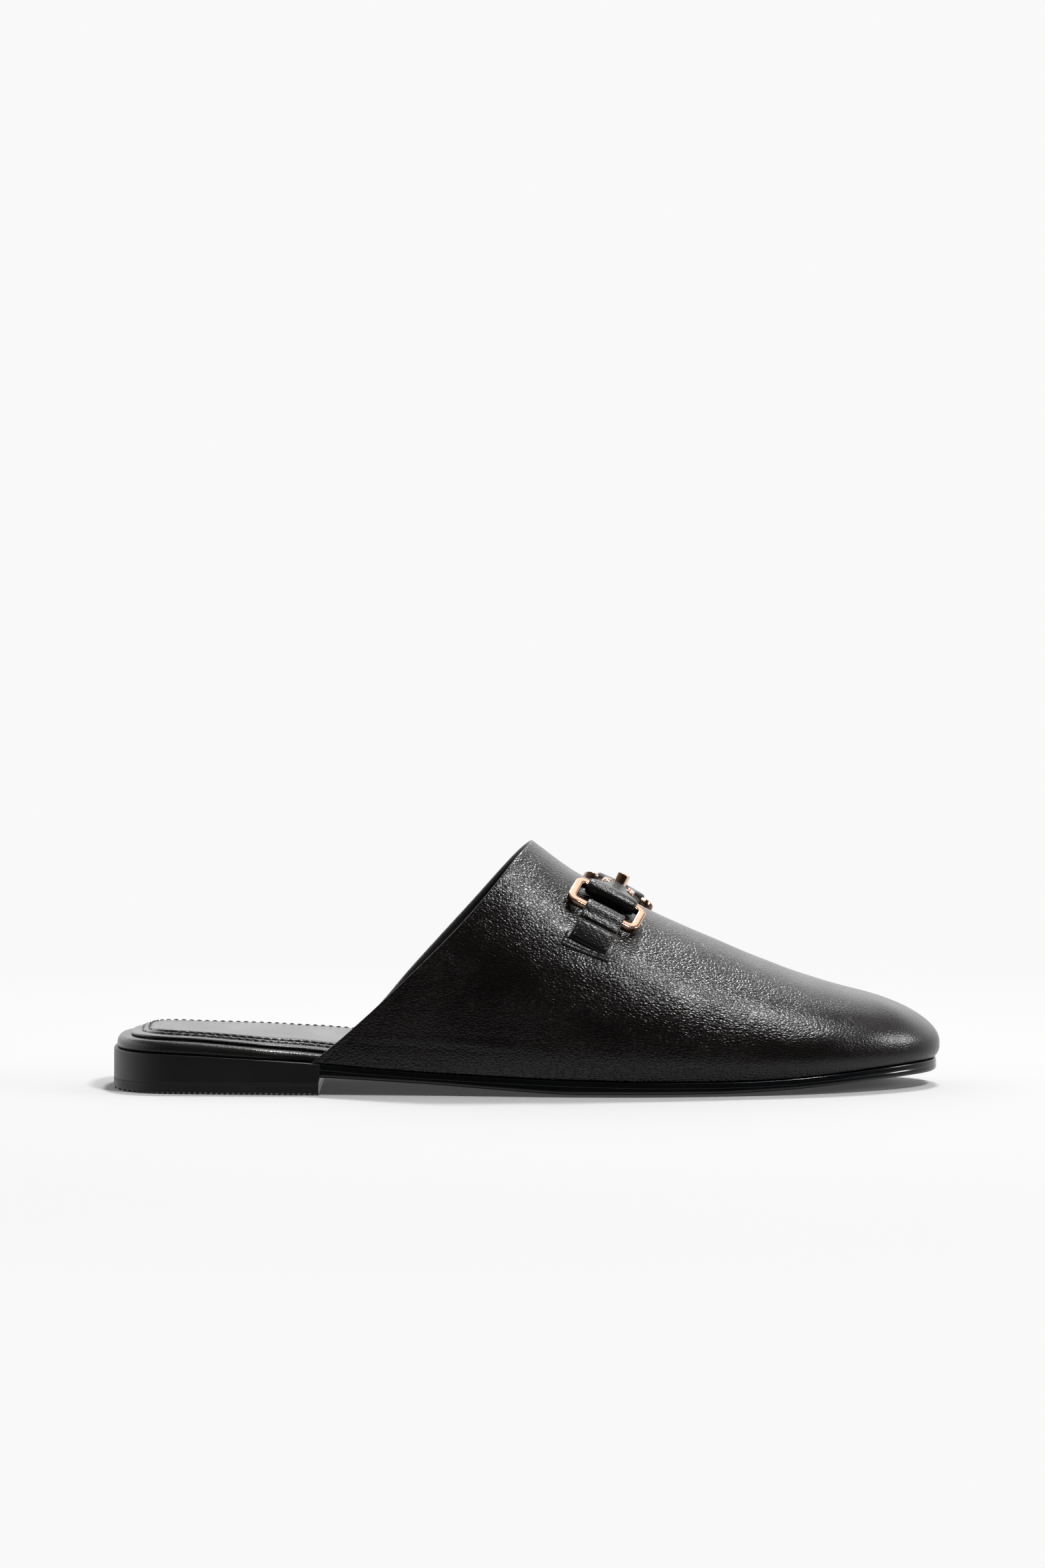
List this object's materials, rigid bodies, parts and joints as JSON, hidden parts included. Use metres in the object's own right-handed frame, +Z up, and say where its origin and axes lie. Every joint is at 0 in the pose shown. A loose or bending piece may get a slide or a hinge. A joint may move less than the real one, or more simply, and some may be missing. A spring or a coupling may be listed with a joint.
{
  "type": "loafer mule",
  "caption": "Backless leather loafer mule for the right foot, with a padded insole, a low moulded heel and a small metal ring-and-link trim held across the vamp.",
  "frame": {"origin": "centre of the bounding box in plan, on the floor plane under the sole", "axes": "+X towards the toe, +Y towards the inner side of the foot, +Z up"},
  "size_m": [0.2624, 0.0856, 0.0782],
  "materials": {
    "upper_leather": "fine-grained black leather with a soft sheen",
    "footbed_leather": "smooth black wrapping leather",
    "sock_leather": "soft fine-grained black lining leather over padding",
    "sole_rubber": "black, glossy at the edge",
    "lift_rubber": "matt black",
    "trim_metal": "polished rose-gold plating"
  },
  "bodies": {
    "root": {"outsole": "sole_rubber", "heel_lift": "lift_rubber", "footbed": "footbed_leather", "sock_pad": "sock_leather", "upper": "upper_leather", "strap_lateral": "upper_leather", "strap_medial": "upper_leather", "tab_lateral": "upper_leather", "tab_medial": "upper_leather", "ring_lateral": "trim_metal", "ring_medial": "trim_metal", "bit_link": "trim_metal"}
  },
  "joints": []
}
